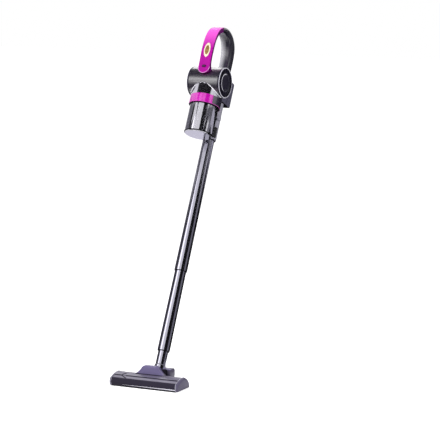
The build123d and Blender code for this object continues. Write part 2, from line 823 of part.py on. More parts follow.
def pad_plane(out):
    """Plane of the release button, at a distance out from the wand axis."""
    return Plane(origin=at(0, 0, pad_high) + pad_out * out, x_dir=pad_along, z_dir=pad_out)


with BuildPart() as wand_socket:
    with BuildSketch(across(socket_foot)):
        Circle(SOCKET_R)
    extrude(amount=socket_top - socket_foot)
    with BuildSketch(pad_plane(0)):
        RectangleRounded(pad_wide, pad_long, PAD_RIM)
    extrude(amount=pad_top)
    with BuildSketch(pad_plane(button_floor)):
        RectangleRounded(BUTTON_WIDE + 2 * GAP, BUTTON_LONG + 2 * GAP, BUTTON_CORNER)
    extrude(amount=BUTTON_TALL, mode=Mode.SUBTRACT)
    for ear_left in (LATCH_OUT - GAP - EAR_THICK, LATCH_OUT + LATCH_WIDE + GAP):
        with BuildSketch(side(ear_left, latch_behind, latch_pin_up)):
            Circle(2 * EAR_THICK)
            with Locations((ear_reach / 2, 0)):
                Rectangle(ear_reach, 4 * EAR_THICK)
            Circle(LATCH_PIN_R + SEAT, mode=Mode.SUBTRACT)
        extrude(amount=EAR_THICK)
    with BuildSketch(across(latch_pin_up - 2 * EAR_THICK)):
        with Locations((latch_mid, latch_behind + ear_reach / 2)):
            Rectangle(LATCH_WIDE + 2 * (GAP + EAR_THICK), ear_reach / 4)
    extrude(amount=4 * EAR_THICK)
    with BuildSketch(across(socket_foot)):
        Circle(socket_bore)
    extrude(amount=UPPER_PLUG + GAP, mode=Mode.SUBTRACT)
    with BuildSketch(across(socket_foot)):
        Circle(TUBE_BORE_R)
    extrude(amount=socket_top - socket_foot, mode=Mode.SUBTRACT)
keep(wand_socket, "wand_socket")

spring_high = BUTTON_TRAVEL + GAP
button_foot = button_floor + spring_high + SPRING_LEAF

with BuildPart() as wand_button:
    with BuildSketch(pad_plane(button_foot)):
        RectangleRounded(BUTTON_WIDE, BUTTON_LONG, BUTTON_CORNER)
    extrude(amount=BUTTON_TALL)
    fillet(wand_button.faces().sort_by(Axis(at(0, 0, 0), pad_out))[-1].edges(), BUTTON_ROUND)
keep(wand_button, "wand_button")

with BuildPart() as button_spring:
    with BuildSketch(pad_plane(button_floor)):
        Rectangle(BUTTON_WIDE / 2, BUTTON_LONG / 2)
    extrude(amount=SPRING_LEAF)
keep(button_spring, "button_spring")

hook_top = hook_up - GAP
hook_tip = -cup_ahead + CUP_R + GAP
tail_up = latch_pin_up - LATCH_TAIL

with BuildPart() as cup_latch:
    with BuildSketch(side(LATCH_OUT, 0, 0)):
        with BuildLine():
            Polyline(
                (latch_behind + LATCH_BACK, tail_up),
                (latch_behind + LATCH_BACK, hook_top),
                (hook_tip, hook_top),
                (hook_tip + HOOK_SLOPE, hook_top - HOOK_THICK),
                (latch_behind - LATCH_FRONT, hook_top - HOOK_THICK - HOOK_SLOPE),
                (latch_behind - LATCH_FRONT, tail_up),
                close=True,
            )
        make_face()
        with Locations((latch_behind, latch_pin_up)):
            Circle(LATCH_PIN_R + SEAT, mode=Mode.SUBTRACT)
    extrude(amount=LATCH_WIDE)
keep(cup_latch, "cup_latch")

with BuildPart() as latch_pin:
    with BuildSketch(side(LATCH_OUT - GAP - EAR_THICK, latch_behind, latch_pin_up)):
        Circle(LATCH_PIN_R)
    extrude(amount=LATCH_WIDE + 2 * (GAP + EAR_THICK))
keep(latch_pin, "latch_pin")

# Floor head: hollow shell with the hood and yoke, front strip, end caps and base plate

plate_front = HEAD_OUTLINE[0][0]
shell_back = HEAD_BACK - HEAD_WALL


def head_form(half, inset=0):
    """The head's outline run out to both sides, optionally drawn in all round."""
    with BuildPart() as form:
        with BuildSketch(Plane.YZ):
            with BuildLine():
                FilletPolyline(*HEAD_OUTLINE, radius=HEAD_BENDS, close=True)
            make_face()
            if inset:
                offset(amount=-inset, mode=Mode.REPLACE)
        extrude(amount=half, both=True)
    return form.part


with BuildPart() as head_room:
    add(head_form(HEAD_HALF - HEAD_WALL, HEAD_WALL))
    with BuildSketch(Plane.YZ):
        with Locations(((plate_front + shell_back + HEAD_WALL) / 2, PLATE_THICK + HEAD_WALL)):
            Rectangle(shell_back - plate_front - HEAD_WALL, 2 * HEAD_WALL)
    extrude(amount=HEAD_HALF - HEAD_WALL, both=True)

with BuildPart() as strip_room:
    with BuildSketch(Plane.YZ):
        with Locations((STRIP_BACK, STRIP_TOP)):
            Rectangle(HEAD_HALF, 2 * STRIP_TOP, align=(Align.MAX, Align.MAX))
    extrude(amount=HEAD_HALF, both=True)

with BuildPart() as front_strip:
    add(head_form(HEAD_HALF))
    add(head_room.part, mode=Mode.SUBTRACT)
    add(strip_room.part, mode=Mode.INTERSECT)
keep(front_strip, "front_strip")

screw_places = [
    (right, behind)
    for right in (screw_out, -screw_out)
    for behind in (SCREW_FRONT, SCREW_BACK)
]
hood_outline = [
    (-HOOD_BASE / 2, HOOD_LOW),
    (HOOD_BASE / 2, HOOD_LOW),
    (HOOD_TOP / 2, HOOD_HIGH),
    (-HOOD_TOP / 2, HOOD_HIGH),
]
hood_deep = HEAD_BACK - HOOD_FRONT
yoke_left = ELBOW_HALF + GAP
seat_deep = PIVOT_BACK - HEAD_BACK - ELBOW_R / 3

with BuildPart() as hood:
    with BuildSketch(Plane.XZ.offset(-HOOD_FRONT)):
        Polygon(*hood_outline, align=None)
    extrude(amount=-hood_deep)
    fillet(hood.edges().filter_by(Axis.Y).group_by(Axis.Z)[-1], HOOD_ROUND)
    front_rims = hood.faces().sort_by(Axis.Y)[0].edges().group_by(Axis.Z)[1:]
    fillet([edge for group in front_rims for edge in group], HOOD_ROUND / 2)

with BuildPart() as hood_room:
    with BuildSketch(Plane.XZ.offset(-HOOD_FRONT - HEAD_WALL)):
        Polygon(*hood_outline, align=None)
        offset(amount=-HEAD_WALL, kind=Kind.INTERSECTION, mode=Mode.REPLACE)
    extrude(amount=-(hood_deep - 2 * HEAD_WALL))

with BuildPart() as bosses:
    with BuildSketch(Plane.XY.offset(PLATE_THICK)):
        with Locations(*screw_places):
            Circle(BOSS_R)
    extrude(amount=HOOD_HIGH)
    add(head_form(HEAD_HALF), mode=Mode.INTERSECT)
    with BuildSketch(Plane.XY.offset(PLATE_THICK)):
        with Locations(*screw_places):
            Circle(SCREW_R + SEAT)
    extrude(amount=SCREW_LONG, mode=Mode.SUBTRACT)

with BuildPart() as head_shell:
    add(head_form(HEAD_HALF))
    add(hood.part)
    with BuildSketch(Plane.XZ.offset(-HEAD_BACK - seat_deep)):
        with Locations((0, PIVOT_HIGH - ELBOW_R / 2 - GAP)):
            Rectangle(2 * ELBOW_HALF, ELBOW_R)
    extrude(amount=seat_deep + HEAD_WALL / 2)
    add(hood_room.part, mode=Mode.SUBTRACT)
    add(head_room.part, mode=Mode.SUBTRACT)
    add(strip_room.part, mode=Mode.SUBTRACT)
    add(bosses.part)
    with BuildSketch(side(0, 0, 0)):
        Circle(ELBOW_R + 2 * GAP)
    extrude(amount=yoke_left, both=True, mode=Mode.SUBTRACT)
    with BuildSketch(pivot_front):
        SlotOverall(2 * NECK_BORE_R, NECK_BORE_R)
    extrude(amount=PIVOT_BACK - shell_back + HEAD_WALL, mode=Mode.SUBTRACT)
    for yoke_side in (yoke_left, -ELBOW_HALF - YOKE_THICK):
        with BuildSketch(Plane.YZ.offset(yoke_side)):
            with Locations((PIVOT_BACK, PIVOT_HIGH)):
                Circle(YOKE_R)
                Rectangle(PIVOT_BACK - shell_back, 2 * YOKE_R, align=(Align.MAX, Align.CENTER))
                Circle(PIN_R + SEAT, mode=Mode.SUBTRACT)
        extrude(amount=YOKE_THICK - GAP)
keep(head_shell, "head_shell")

cap_outline = [
    (HEAD_OUTLINE[0][0], CAP_LIFT), *HEAD_OUTLINE[1:3], *HEAD_OUTLINE[5:-1], (HEAD_BACK, CAP_LIFT),
]
cap_bends = HEAD_BENDS[:3] + HEAD_BENDS[5:]

with BuildPart() as end_cap_right:
    with BuildSketch(Plane.YZ.offset(HEAD_HALF)):
        with BuildLine():
            FilletPolyline(*cap_outline, radius=cap_bends, close=True)
        make_face()
    extrude(amount=CAP_LONG)
    cap_rims = end_cap_right.faces().sort_by(Axis.X)[-1].edges().group_by(Axis.Z)[1:]
    fillet([edge for group in cap_rims for edge in group], CAP_ROUND)
keep(end_cap_right, "end_cap_right")
end_cap_left = mirrored(end_cap_right)
keep(end_cap_left, "end_cap_left")

wheel_high = WHEEL_LIFT + WHEEL_R
cheek_in = WHEEL_WIDE / 2 + GAP
strip_middles = (SLOT_FRONT - STRIP_WIDE, SLOT_BACK + STRIP_WIDE)

with BuildPart() as base_plate:
    with BuildSketch():
        with Locations((0, (plate_front + HEAD_BACK) / 2)):
            Rectangle(2 * HEAD_HALF, HEAD_BACK - plate_front)
        with Locations((0, (SLOT_FRONT + SLOT_BACK) / 2)):
            RectangleRounded(2 * slot_half, SLOT_BACK - SLOT_FRONT, SLOT_ROUND, mode=Mode.SUBTRACT)
        with Locations((wheel_out, WHEEL_BACK), (-wheel_out, WHEEL_BACK)):
            Rectangle(2 * cheek_in, 2 * (WHEEL_R + 2 * GAP), mode=Mode.SUBTRACT)
    extrude(amount=PLATE_THICK)
    with BuildSketch():
        with Locations(*[(0, middle) for middle in strip_middles]):
            Rectangle(2 * slot_half, STRIP_WIDE)
    extrude(amount=STRIP_DEEP, mode=Mode.SUBTRACT)
    with BuildSketch():
        with Locations(*screw_places):
            Circle(SCREW_HEAD_R + GAP)
    extrude(amount=SCREW_HEAD + WHEEL_LIFT, mode=Mode.SUBTRACT)
    with BuildSketch():
        with Locations(*screw_places):
            Circle(SCREW_R + SEAT)
    extrude(amount=PLATE_THICK, mode=Mode.SUBTRACT)
    for wheel_side in (wheel_out, -wheel_out):
        for cheek_left in (wheel_side + cheek_in, wheel_side - cheek_in - CHEEK):
            with BuildSketch(Plane.YZ.offset(cheek_left)):
                with Locations((WHEEL_BACK, wheel_high)):
                    Circle(CHEEK)
                    Rectangle(2 * CHEEK, wheel_high - STRIP_DEEP, align=(Align.CENTER, Align.MAX))
                    Circle(AXLE_R + SEAT, mode=Mode.SUBTRACT)
            extrude(amount=CHEEK)
keep(base_plate, "base_plate")

with BuildPart() as lint_strips:
    with BuildSketch(Plane.XY.offset(WHEEL_LIFT)):
        with Locations(*[(0, middle) for middle in strip_middles]):
            Rectangle(2 * (slot_half - GAP), STRIP_WIDE - GAP)
    extrude(amount=STRIP_DEEP - WHEEL_LIFT)
keep(lint_strips, "lint_strips")

with BuildPart() as head_screws:
    with BuildSketch(Plane.XY.offset(WHEEL_LIFT)):
        with Locations(*screw_places):
            Circle(SCREW_HEAD_R)
    extrude(amount=SCREW_HEAD)
    with BuildSketch(Plane.XY.offset(WHEEL_LIFT)):
        with Locations(*screw_places):
            Circle(SCREW_R)
    extrude(amount=SCREW_LONG)
keep(head_screws, "head_screws")

with BuildPart() as wheel_right:
    with BuildSketch(Plane.YZ.offset(wheel_out - WHEEL_WIDE / 2)):
        with Locations((WHEEL_BACK, wheel_high)):
            Circle(WHEEL_R)
    extrude(amount=WHEEL_WIDE)
    fillet(wheel_right.edges(), WHEEL_ROUND)
    with BuildSketch(Plane.YZ.offset(wheel_out - WHEEL_WIDE / 2)):
        with Locations((WHEEL_BACK, wheel_high)):
            Circle(AXLE_R + SEAT)
    extrude(amount=WHEEL_WIDE, mode=Mode.SUBTRACT)
keep(wheel_right, "wheel_right")
wheel_left = mirrored(wheel_right)
keep(wheel_left, "wheel_left")

with BuildPart() as wheel_axles:
    for axle_left in (wheel_out - cheek_in - CHEEK, -wheel_out - cheek_in - CHEEK):
        with BuildSketch(Plane.YZ.offset(axle_left)):
            with Locations((WHEEL_BACK, wheel_high)):
                Circle(AXLE_R)
        extrude(amount=2 * (cheek_in + CHEEK))
keep(wheel_axles, "wheel_axles")
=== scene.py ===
import json
from math import cos, pi, radians, sin, sqrt, tan

import bmesh
import bpy
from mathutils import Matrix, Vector
from mathutils.bvhtree import BVHTree


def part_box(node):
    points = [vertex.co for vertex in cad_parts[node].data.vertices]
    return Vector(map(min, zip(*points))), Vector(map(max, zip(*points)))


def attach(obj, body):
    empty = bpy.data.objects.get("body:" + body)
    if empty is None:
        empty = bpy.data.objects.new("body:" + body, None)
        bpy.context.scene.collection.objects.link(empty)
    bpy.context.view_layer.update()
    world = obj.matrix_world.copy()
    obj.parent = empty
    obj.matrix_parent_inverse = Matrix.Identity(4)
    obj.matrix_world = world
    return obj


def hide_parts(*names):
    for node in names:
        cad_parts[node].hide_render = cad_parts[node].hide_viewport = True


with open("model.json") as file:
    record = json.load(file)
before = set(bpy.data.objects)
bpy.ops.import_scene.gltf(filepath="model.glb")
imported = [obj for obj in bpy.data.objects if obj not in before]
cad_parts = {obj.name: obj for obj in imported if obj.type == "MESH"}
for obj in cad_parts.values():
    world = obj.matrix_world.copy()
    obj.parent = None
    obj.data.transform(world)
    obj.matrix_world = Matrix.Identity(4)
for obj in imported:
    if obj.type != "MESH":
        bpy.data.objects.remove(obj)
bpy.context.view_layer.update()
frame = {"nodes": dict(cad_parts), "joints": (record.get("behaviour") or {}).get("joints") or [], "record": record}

# Directions and places of the leaning stick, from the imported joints
joints = {joint["name"]: joint for joint in frame["joints"]}
RIGHT = Vector((1, 0, 0))
UP = -Vector(joints["cup_pull"]["axis"])
BACK = Vector(joints["battery_slide"]["axis"])
MOTOR = Vector(joints["impeller_spin"]["pos_m"])
PIVOT = Vector(joints["head_pitch"]["pos_m"])
SIDES = ((1, "right"), (-1, "left"))
CASE_R = 0.046


# Materials, each kept under its name

EDGE_ROUND = 0.0007
GRAIN_SCALE = 2600
GRAIN_HIGH = 0.0002
NOISE_SPAN = (0.3, 0.7)
# A mix node's sockets by the kind of value: first, second and result
MIX_SOCKETS = {"FLOAT": (2, 3, 0), "RGBA": (6, 7, 2)}
materials = {}


def new_material(name):
    material = bpy.data.materials.new(name)
    material.use_nodes = True
    tree = material.node_tree
    tree.nodes.clear()
    output = tree.nodes.new("ShaderNodeOutputMaterial")
    shader = tree.nodes.new("ShaderNodeBsdfPrincipled")
    tree.links.new(shader.outputs["BSDF"], output.inputs["Surface"])
    materials[name] = material
    return tree, shader


def set_values(node, **values):
    """Sets a node's inputs, with an underscore for each space in their names."""
    for word, value in values.items():
        node.inputs[word.replace("_", " ")].default_value = value


def noise(tree, scale, detail=3.0):
    """Noise in the object's own coordinates, as the node's value output."""
    place = tree.nodes.new("ShaderNodeTexCoord")
    texture = tree.nodes.new("ShaderNodeTexNoise")
    set_values(texture, Scale=scale, Detail=detail)
    tree.links.new(place.outputs["Object"], texture.inputs["Vector"])
    return texture.outputs["Fac"]


def graded(tree, value, start, end, low=0.0, high=1.0):
    """From low to high as a value goes from start to end."""
    node = tree.nodes.new("ShaderNodeMapRange")
    set_values(node, From_Min=start, From_Max=end, To_Min=low, To_Max=high)
    tree.links.new(value, node.inputs["Value"])
    return node.outputs["Result"]


def shaded(tree, value, dark, light):
    """A colour between two that follows a noise value."""
    ramp = tree.nodes.new("ShaderNodeValToRGB")
    for stop, position, colour in zip(ramp.color_ramp.elements, NOISE_SPAN, (dark, light)):
        stop.position = position
        stop.color = (*colour, 1)
    tree.links.new(value, ramp.inputs["Fac"])
    return ramp.outputs["Color"]


def uneven_gloss(tree, shader, rough, share, scale, detail):
    """Roughness that drifts by a share to both sides."""
    drift = noise(tree, scale, detail)
    gloss = graded(tree, drift, *NOISE_SPAN, rough * (1 - share), rough * (1 + share))
    tree.links.new(gloss, shader.inputs["Roughness"])


def softened(tree, shader, grain):
    """Softly rounded edges, with a fine grain on top where there is one."""
    normal = tree.nodes.new("ShaderNodeBevel")
    normal.samples = 4
    set_values(normal, Radius=EDGE_ROUND)
    tree.links.new(normal.outputs["Normal"], shader.inputs["Coat Normal"])
    if grain:
        bump = tree.nodes.new("ShaderNodeBump")
        set_values(bump, Strength=grain, Distance=GRAIN_HIGH)
        tree.links.new(noise(tree, GRAIN_SCALE, 2), bump.inputs["Height"])
        tree.links.new(normal.outputs["Normal"], bump.inputs["Normal"])
        normal = bump
    tree.links.new(normal.outputs["Normal"], shader.inputs["Normal"])


def moulded(name, colour, rough, vary=0.08, grain=0.0, coat=0.0, coat_rough=0.05, metallic=0.0,
            level=0.5, coat_ior=1.5):
    """A moulded or painted surface: slow colour drift, uneven gloss and a fine grain."""
    tree, shader = new_material(name)
    dark = [channel * (1 - vary) for channel in colour]
    light = [min(1, channel * (1 + vary)) for channel in colour]
    tree.links.new(shaded(tree, noise(tree, 14), dark, light), shader.inputs["Base Color"])
    uneven_gloss(tree, shader, rough, share=0.12, scale=90, detail=4)
    set_values(shader, Metallic=metallic, Specular_IOR_Level=level, Coat_Weight=coat,
               Coat_Roughness=coat_rough, Coat_IOR=coat_ior)
    softened(tree, shader, grain)


def clear_plastic(name, tint, rough, mirror):
    """Clear plastic that is hazy in places and mirrors part of what is in front of it."""
    tree, shader = new_material(name)
    set_values(shader, Base_Color=(*tint, 1), Metallic=mirror, Transmission_Weight=1.0, IOR=1.45)
    uneven_gloss(tree, shader, rough, share=0.4, scale=30, detail=4)


def drawn_metal(name, colour, rough):
    """Lacquered metal tube with slightly uneven gloss."""
    tree, shader = new_material(name)
    dark = [channel * 0.95 for channel in colour]
    tree.links.new(shaded(tree, noise(tree, 9), dark, colour), shader.inputs["Base Color"])
    uneven_gloss(tree, shader, rough, share=0.15, scale=70, detail=3)
    set_values(shader, Metallic=1.0)


def vector_step(tree, operation, value, other=(0, 0, 0)):
    """The outputs of a vector node that works on a value and a fixed vector."""
    node = tree.nodes.new("ShaderNodeVectorMath")
    node.operation = operation
    tree.links.new(value, node.inputs[0])
    node.inputs[1].default_value = other
    return node.outputs


def math_step(tree, operation, first, second):
    """The result of a node that works on two values, of which the second may be a number."""
    node = tree.nodes.new("ShaderNodeMath")
    node.operation = operation
    tree.links.new(first, node.inputs[0])
    if isinstance(second, float):
        node.inputs[1].default_value = second
    else:
        tree.links.new(second, node.inputs[1])
    return node.outputs["Value"]


def from_centre(tree, centre):
    """The offset of a place from a centre."""
    place = tree.nodes.new("ShaderNodeTexCoord")
    return vector_step(tree, "SUBTRACT", place.outputs["Object"], centre)["Vector"]


def place_mask(tree, centre, weights, start, end):
    """From 0 to 1 with the weighted distance of a place from a centre."""
    weighted = vector_step(tree, "MULTIPLY", from_centre(tree, centre), weights)["Vector"]
    return graded(tree, vector_step(tree, "LENGTH", weighted)["Value"], start, end)


def plane_mask(tree, centre, normal, start, end):
    """From 0 to 1 with the height of a place above a plane."""
    height = vector_step(tree, "DOT_PRODUCT", from_centre(tree, centre), normal)["Value"]
    return graded(tree, height, start, end)


def facing_mask(tree, way, start, end):
    """From 0 to 1 as a surface turns to face a fixed direction."""
    surface = tree.nodes.new("ShaderNodeNewGeometry")
    turned_to = vector_step(tree, "DOT_PRODUCT", surface.outputs["Normal"], way)["Value"]
    return graded(tree, turned_to, start, end)


def blend(tree, socket, mask, kind, value):
    """Mixes a second value into what a shader's socket has, where the mask is 1."""
    first, second, result = MIX_SOCKETS[kind]
    mix = tree.nodes.new("ShaderNodeMix")
    mix.data_type = kind
    mix.inputs[first].default_value = socket.default_value
    if socket.links:
        tree.links.new(socket.links[0].from_socket, mix.inputs[first])
    mix.inputs[second].default_value = value
    tree.links.new(mask, mix.inputs[0])
    tree.links.new(mix.outputs[result], socket)


def two_tone(name, mask_of, colour, **finish):
    """A second finish on a material where a mask is 1, with other values by socket name."""
    tree = materials[name].node_tree
    shader = next(node for node in tree.nodes if node.type == "BSDF_PRINCIPLED")
    mask = mask_of(tree)
    blend(tree, shader.inputs["Base Color"], mask, "RGBA", (*colour, 1))
    for word, value in finish.items():
        blend(tree, shader.inputs[word.replace("_", " ")], mask, "FLOAT", value)


# Finishes of the record's slots
TUBE_COLOUR = (0.52, 0.51, 0.60)
TUBE_ROUGH = 0.12
moulded("case_gloss", (0.022, 0.018, 0.030), 0.36, coat=1.0, coat_rough=0.26, coat_ior=2.3)
moulded("socket_pale", (0.40, 0.39, 0.47), 0.26, coat=0.5)
moulded("vent_dark", (0.016, 0.013, 0.030), 0.34, grain=0.05, coat=0.2)
moulded("magenta", (0.38, 0.0005, 0.28), 0.36, coat=0.2, coat_rough=0.30, level=0.06)
moulded("gold_inlay", (0.48, 0.30, 0.11), 0.30, metallic=0.7, grain=0.08)
clear_plastic("clear_cup", (0.64, 0.63, 0.69), 0.07, 0.88)
moulded("grip_dark", (0.020, 0.017, 0.034), 0.36, grain=0.05, coat=0.8, coat_rough=0.20, coat_ior=1.6)
moulded("rear_shell", (0.10, 0.092, 0.145), 0.34, coat=0.2)
drawn_metal("tube_metal", TUBE_COLOUR, TUBE_ROUGH)
moulded("black_plastic", (0.012, 0.012, 0.015), 0.40, grain=0.10)
moulded("filter_cloth", (0.50, 0.52, 0.50), 0.85, vary=0.2, grain=0.3)
moulded("soft_black", (0.008, 0.008, 0.010), 0.62, grain=0.15, level=0.1)
moulded("foam_grey", (0.08, 0.08, 0.09), 0.9, vary=0.35, grain=0.5)
moulded("motor_metal", (0.62, 0.62, 0.64), 0.3, metallic=1.0)
moulded("board_green", (0.03, 0.16, 0.08), 0.45, vary=0.2)
moulded("head_violet", (0.120, 0.105, 0.165), 0.36, coat=0.25, coat_rough=0.12)
moulded("head_front", (0.018, 0.014, 0.030), 0.24, coat=0.15, level=0.15)
moulded("cap_violet", (0.105, 0.092, 0.155), 0.38, grain=0.06)
moulded("steel", (0.30, 0.30, 0.32), 0.35, metallic=1.0)

# Finishes of single nodes and of the detail pieces
HINGE_COLOUR = (0.009, 0.007, 0.014)
moulded("band_lacquer", (0.68, 0.003, 0.50), 0.26, metallic=0.25, coat=1.0, coat_rough=0.10, coat_ior=1.9)
moulded("crease_glint", (0.04, 0.036, 0.05), 0.5, level=0.15)
moulded("ring_glint", (0.030, 0.026, 0.050), 0.3, metallic=0.2)
moulded("lip_pink", (0.72, 0.06, 0.55), 0.28, coat=0.6)
moulded("strap_edge_highlight", (0.82, 0.34, 0.74), 0.3, coat=0.3)
moulded("hinge_dark", HINGE_COLOUR, 0.45, level=0.12)
moulded("sleeve_finish", HINGE_COLOUR, 0.45, level=0.12)
moulded("seal_grey", (0.20, 0.195, 0.24), 0.4)
moulded("rim_pale", (0.50, 0.48, 0.58), 0.26, metallic=0.4)
moulded("rim_bright", (0.84, 0.82, 0.94), 0.28, coat=0.3)
moulded("frosted", (0.66, 0.645, 0.73), 0.35, coat=0.3)
moulded("button_plum", (0.055, 0.004, 0.055), 0.4)

# The case is bright metal outside the barrel's round, on its collar
two_tone(
    "case_gloss", lambda tree: place_mask(tree, MOTOR, (0, 1, 1), CASE_R + 0.0003, CASE_R + 0.0008),
    (0.60, 0.59, 0.66), Metallic=1.0, Roughness=0.13, Coat_Weight=0.0,
)

# Hood and yokes are lilac above the plane of the deck
DECK_EDGE = (0, -0.0275, 0.0315)
DECK_UP = (0, -0.1905, 0.9817)
two_tone(
    "head_violet", lambda tree: plane_mask(tree, DECK_EDGE, DECK_UP, 0.0006, 0.0016),
    (0.140, 0.115, 0.250),
)

# The strap has a painted highlight, paler towards the crown, and painted shade on its flanks
STRAP_HIGHLIGHT_FROM = (0, 0, 0.958)
STRAP_HIGHLIGHT_RISE = 0.046
two_tone(
    "magenta", lambda tree: plane_mask(tree, STRAP_HIGHLIGHT_FROM, (0, 0, 1), 0.0, STRAP_HIGHLIGHT_RISE),
    (0.82, 0.11, 0.64),
)
# Painted shade: the strap is dark where its flanks face the sides
for side, hand in SIDES:
    two_tone(
        "magenta", lambda tree: facing_mask(tree, RIGHT * side, 0.55, 0.9),
        (0.13, 0.002, 0.125),
    )


def grip_reflection_mask(tree):
    """1 where the grip faces forwards, from the middle to the left, where a pale reflection is painted."""
    ahead = facing_mask(tree, -BACK, 0.1, 0.7)
    leftwards = plane_mask(tree, MOTOR, -RIGHT, -0.004, 0.013)
    return math_step(tree, "MULTIPLY", ahead, leftwards)


# Painted reflection: the grip's inner face is pale towards the left
two_tone("grip_dark", grip_reflection_mask, (0.56, 0.56, 0.60))

# The inlay has a pale rim
inlay_low, inlay_high = (Vector(corner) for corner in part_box("strap_inset"))
inlay_middle = (inlay_low + inlay_high) / 2
inlay_half = (inlay_high - inlay_low) / 2
two_tone(
    "gold_inlay",
    lambda tree: place_mask(tree, inlay_middle, (1 / inlay_half.x, 0, 1 / inlay_half.z), 0.60, 0.70),
    (0.95, 0.84, 0.60), Metallic=0.3,
)

# Painted shade: the rear block is black below its foot edge, on its underside
REAR_SHADE_DOWN = 0.0372
two_tone(
    "rear_shell", lambda tree: plane_mask(tree, MOTOR - UP * REAR_SHADE_DOWN, -UP, 0.0, 0.0006),
    (0.008, 0.007, 0.010), Coat_Weight=0.0, Specular_IOR_Level=0.0, Roughness=0.8,
)

# Painted shade: the band is dark in panels at its sides
BAND_SHADE_ASIDE = 0.0376
two_tone(
    "band_lacquer",
    lambda tree: place_mask(tree, MOTOR, (1, 0, 0), BAND_SHADE_ASIDE, BAND_SHADE_ASIDE + 0.001),
    (0.030, 0.022, 0.050),
)

# Painted highlights: the crease is bright away from its middle, and the disc's ring at its front
two_tone(
    "crease_glint", lambda tree: place_mask(tree, MOTOR, (1, 0, 0), 0.012, 0.022),
    (0.88, 0.87, 0.93),
)
two_tone(
    "ring_glint", lambda tree: plane_mask(tree, MOTOR, -BACK, 0.0, 0.012),
    (0.90, 0.88, 0.98),
)

# The elbow's sleeve is finished like the tubes above its dark hinge
SLEEVE_UP = 0.0098
two_tone(
    "sleeve_finish", lambda tree: plane_mask(tree, PIVOT, UP, SLEEVE_UP, SLEEVE_UP + 0.0006),
    TUBE_COLOUR, Metallic=1.0, Roughness=TUBE_ROUGH,
)


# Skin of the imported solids

WELD_GAP = 0.000002
SHARP_FROM = 28


def smooth_skin():
    """Modifier nodes that shade a solid's curved faces smoothly and keep its edges sharp."""
    group = bpy.data.node_groups.new("smooth_skin", "GeometryNodeTree")
    for way in ("INPUT", "OUTPUT"):
        group.interface.new_socket("Geometry", in_out=way, socket_type="NodeSocketGeometry")
    start = group.nodes.new("NodeGroupInput")
    end = group.nodes.new("NodeGroupOutput")
    weld = group.nodes.new("GeometryNodeMergeByDistance")
    weld.inputs["Distance"].default_value = WELD_GAP
    skin = group.nodes.new("GeometryNodeSetShadeSmooth")
    angle = group.nodes.new("GeometryNodeInputMeshEdgeAngle")
    sharp = group.nodes.new("FunctionNodeCompare")
    sharp.data_type = "FLOAT"
    sharp.operation = "GREATER_THAN"
    sharp.inputs[1].default_value = radians(SHARP_FROM)
    edges = group.nodes.new("GeometryNodeSetShadeSmooth")
    edges.domain = "EDGE"
    edges.inputs["Shade Smooth"].default_value = False
    group.links.new(start.outputs[0], weld.inputs["Geometry"])
    group.links.new(weld.outputs["Geometry"], skin.inputs["Geometry"])
    group.links.new(skin.outputs["Geometry"], edges.inputs["Geometry"])
    group.links.new(angle.outputs["Unsigned Angle"], sharp.inputs[0])
    group.links.new(sharp.outputs["Result"], edges.inputs["Selection"])
    group.links.new(edges.outputs["Geometry"], end.inputs[0])
    return group


OWN_FINISH = {
    "collar_ring": "band_lacquer",
    "power_button": "button_plum",
    "elbow": "sleeve_finish",
    "neck_seal": "seal_grey",
}
skin_nodes = smooth_skin()
slot_of = {row["node"]: row["material_slot"] for row in frame["record"]["subparts"]}
for node_name, node in frame["nodes"].items():
    finish = OWN_FINISH.get(node_name, slot_of[node_name])
    node.data.materials.clear()
    node.data.materials.append(materials[finish])
    node.modifiers.new("smooth_skin", "NODES").node_group = skin_nodes


# Detail pieces in mesh code, in millimetres from the motor's middle along the stick's directions

RING_STEPS = 120
RING_SIDES = 10
ROD_SIDES = 8


def mesh_object(name, points, faces):
    mesh = bpy.data.meshes.new(name)
    mesh.from_pydata([tuple(point) for point in points], [], faces)
    mesh.update()
    thing = bpy.data.objects.new(name, mesh)
    bpy.context.scene.collection.objects.link(thing)
    return thing


def spot(right, back, up):
    return MOTOR + (RIGHT * right + BACK * back + UP * up) / 1000


def dress(thing, body, finish):
    """Smooth shading, its material and the body that it rides on."""
    for face in thing.data.polygons:
        face.use_smooth = True
    thing.data.materials.append(materials[finish])
    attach(thing, body)
    return thing


def round_turns(count):
    """Equal turns that go once round."""
    return [2 * pi * place / count for place in range(count)]


def turned(name, centre, axis, outline, steps=RING_STEPS):
    """A ring turned round an axis from a closed outline of (radius, along) pairs in millimetres."""
    axis = axis.normalized()
    first = axis.orthogonal().normalized()
    second = axis.cross(first)
    points, faces = [], []
    size = len(outline)
    for step, turn in enumerate(round_turns(steps)):
        out = first * cos(turn) + second * sin(turn)
        points += [centre + (out * radius + axis * along) / 1000 for radius, along in outline]
        here, there = step * size, (step + 1) % steps * size
        for corner in range(size):
            after = (corner + 1) % size
            faces.append((here + corner, there + corner, there + after, here + after))
    return mesh_object(name, points, faces)


def bead(radius, along, thick):
    """A round section for a turned ring."""
    return [(radius + thick * cos(turn), along + thick * sin(turn)) for turn in round_turns(RING_SIDES)]


def lofted(name, rings):
    """A skin with closed ends through rings of the same number of points, given in metres."""
    points, faces = [], []
    size = len(rings[0])
    for place, ring in enumerate(rings):
        points += ring
        if place:
            here, there = (place - 1) * size, place * size
            for corner in range(size):
                after = (corner + 1) % size
                faces.append((here + corner, here + after, there + after, there + corner))
    faces.append(tuple(range(size))[::-1])
    faces.append(tuple(range((len(rings) - 1) * size, len(rings) * size)))
    return mesh_object(name, points, faces)


